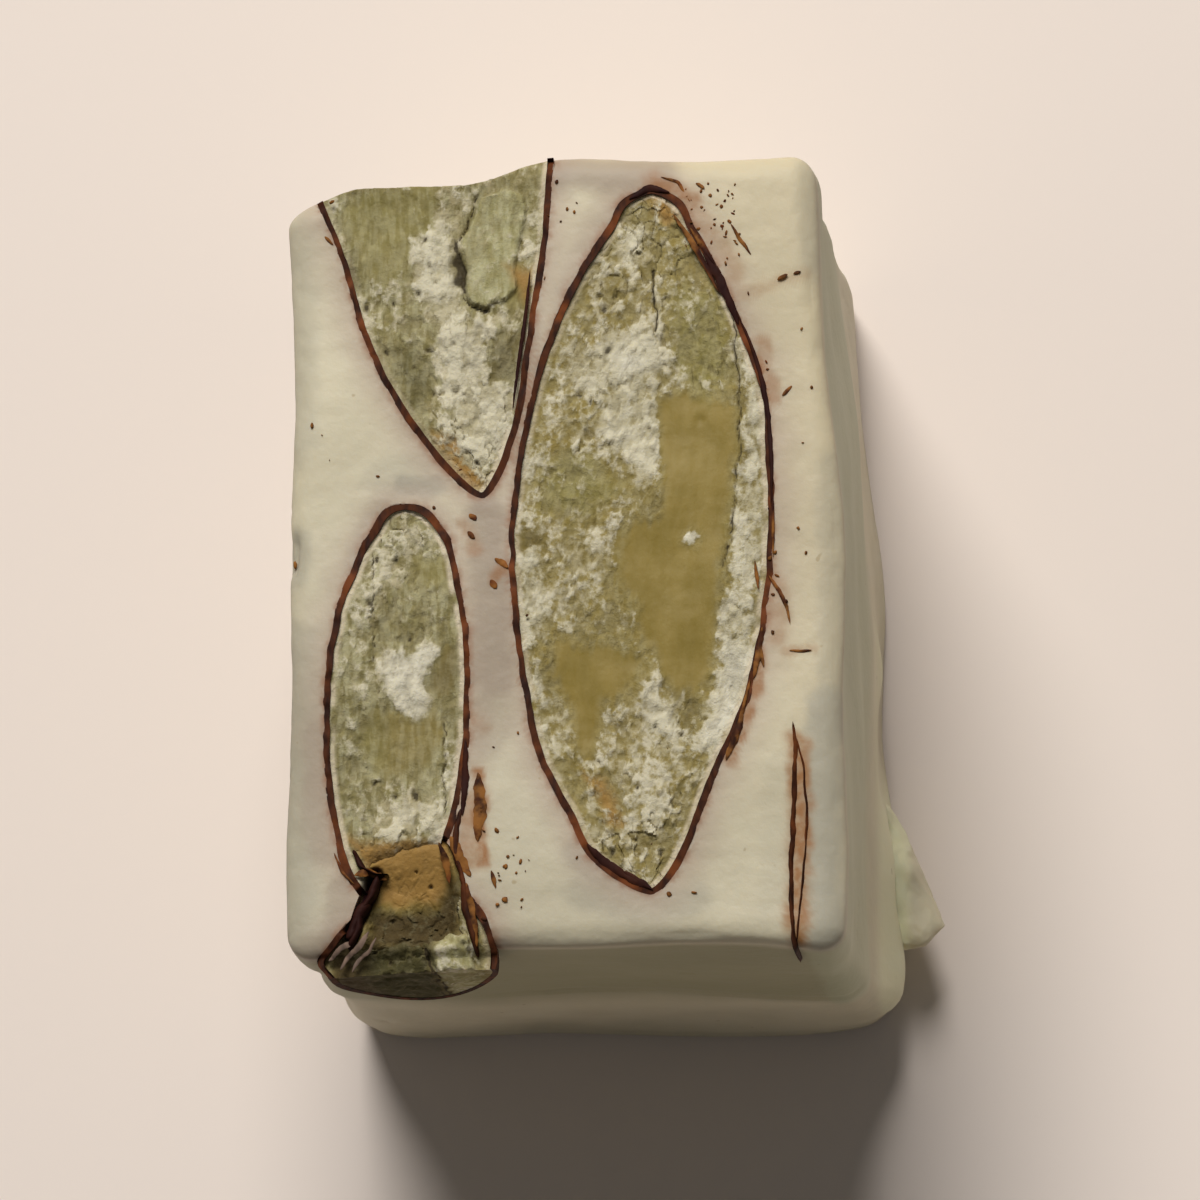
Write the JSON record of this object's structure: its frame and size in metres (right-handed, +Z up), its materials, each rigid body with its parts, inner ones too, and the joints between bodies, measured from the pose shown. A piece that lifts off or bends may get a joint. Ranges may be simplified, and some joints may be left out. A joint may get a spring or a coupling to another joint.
{
  "type": "almond nougat piece",
  "caption": "Soft-edged block of white nougat, cut open so that sliced almonds with thin brown skins show on its upper face. It rests on the opposite cut face.",
  "frame": {"origin": "middle of the flat cut face that the piece rests on", "axes": "+Z up to the cut face that shows the almonds, +X through the slab from one smooth side to the other, +Y along the almonds towards the end that cuts one in two"},
  "size_m": [0.0215, 0.0284, 0.0252],
  "materials": {
    "nougat": "soft matte, slightly waxy",
    "almond_kernel": "chalky where broken, satin where sliced",
    "almond_skin": "thin, dry and matte"
  },
  "bodies": {
    "root": {"nougat_block": "nougat", "almond_large": "almond_kernel", "almond_back": "almond_kernel", "almond_small": "almond_kernel", "almond_front": "almond_kernel", "skin_edge": "almond_skin"}
  },
  "joints": []
}
